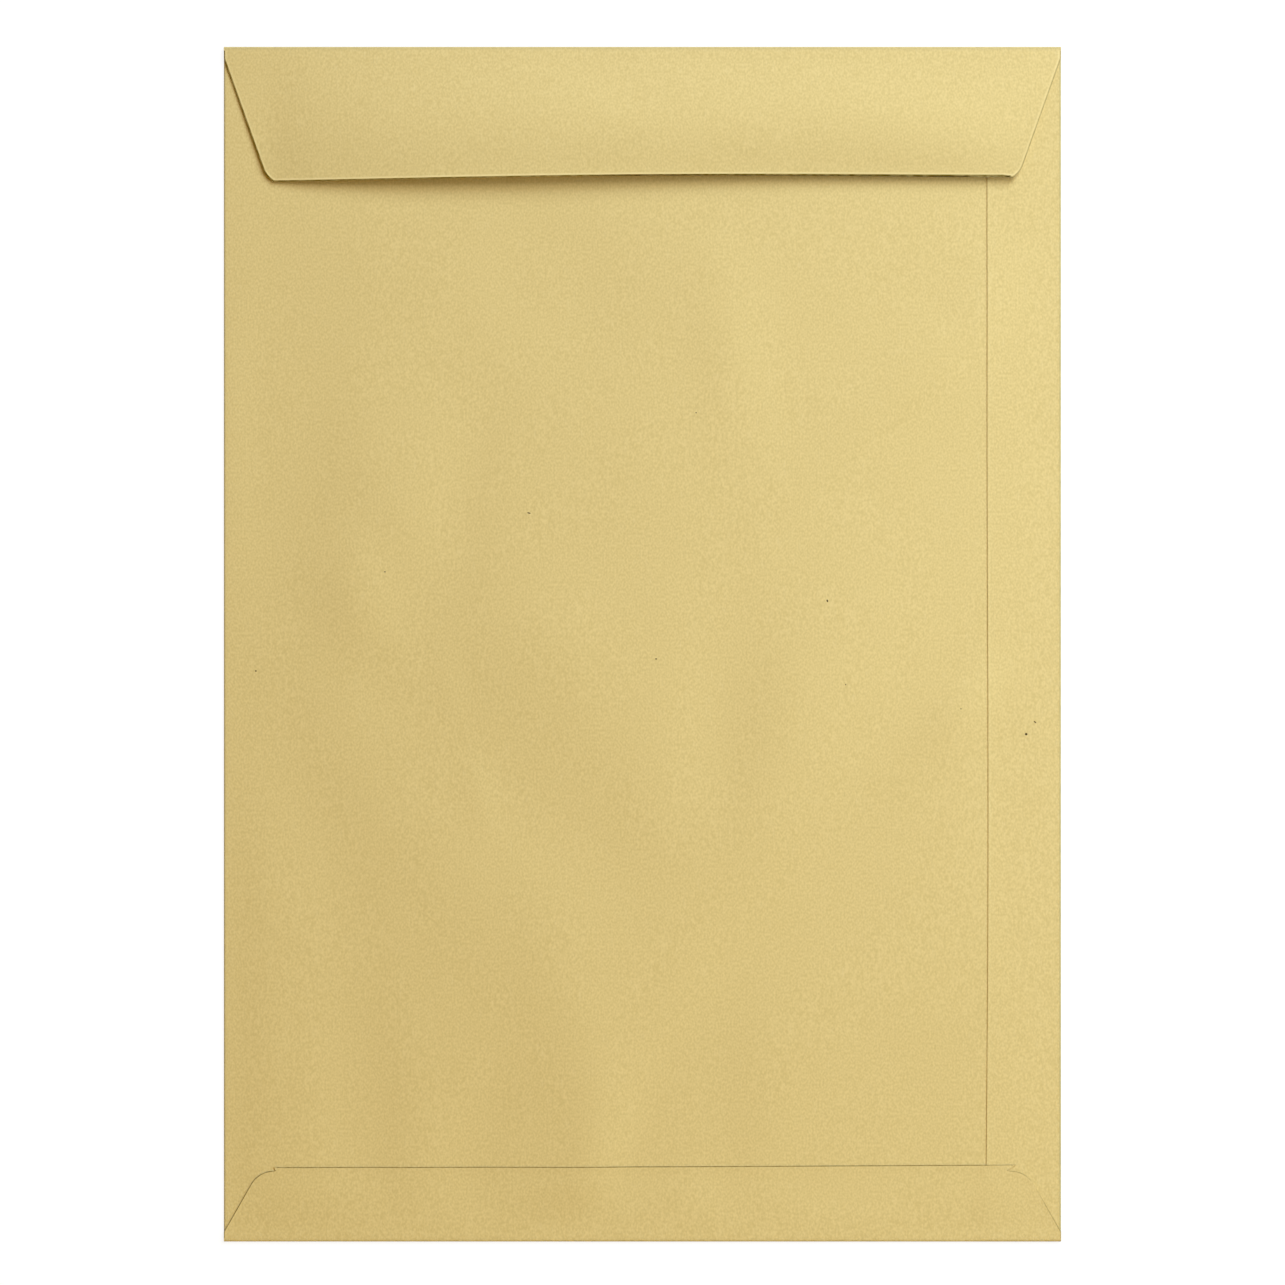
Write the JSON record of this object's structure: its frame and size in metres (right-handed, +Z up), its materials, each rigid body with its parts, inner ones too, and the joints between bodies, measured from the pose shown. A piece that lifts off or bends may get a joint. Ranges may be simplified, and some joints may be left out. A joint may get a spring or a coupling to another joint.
{
  "type": "paper envelope",
  "caption": "Flat C4 pocket envelope folded from one sheet of kraft paper, with a side seam, a glued bottom flap and a loose top flap folded down over its mouth.",
  "frame": {"origin": "centre of the envelope's outline, on the lower face of its front panel, which lies on the surface", "axes": "+X from the left fold to the seam side, +Y from the bottom fold to the top fold, +Z up through the sheet, from the front panel to the back with its flaps"},
  "size_m": [0.228, 0.3254, 0.0039],
  "materials": {
    "kraft_paper": "matte golden kraft paper"
  },
  "bodies": {
    "root": {"envelope": "kraft_paper"}
  },
  "joints": []
}
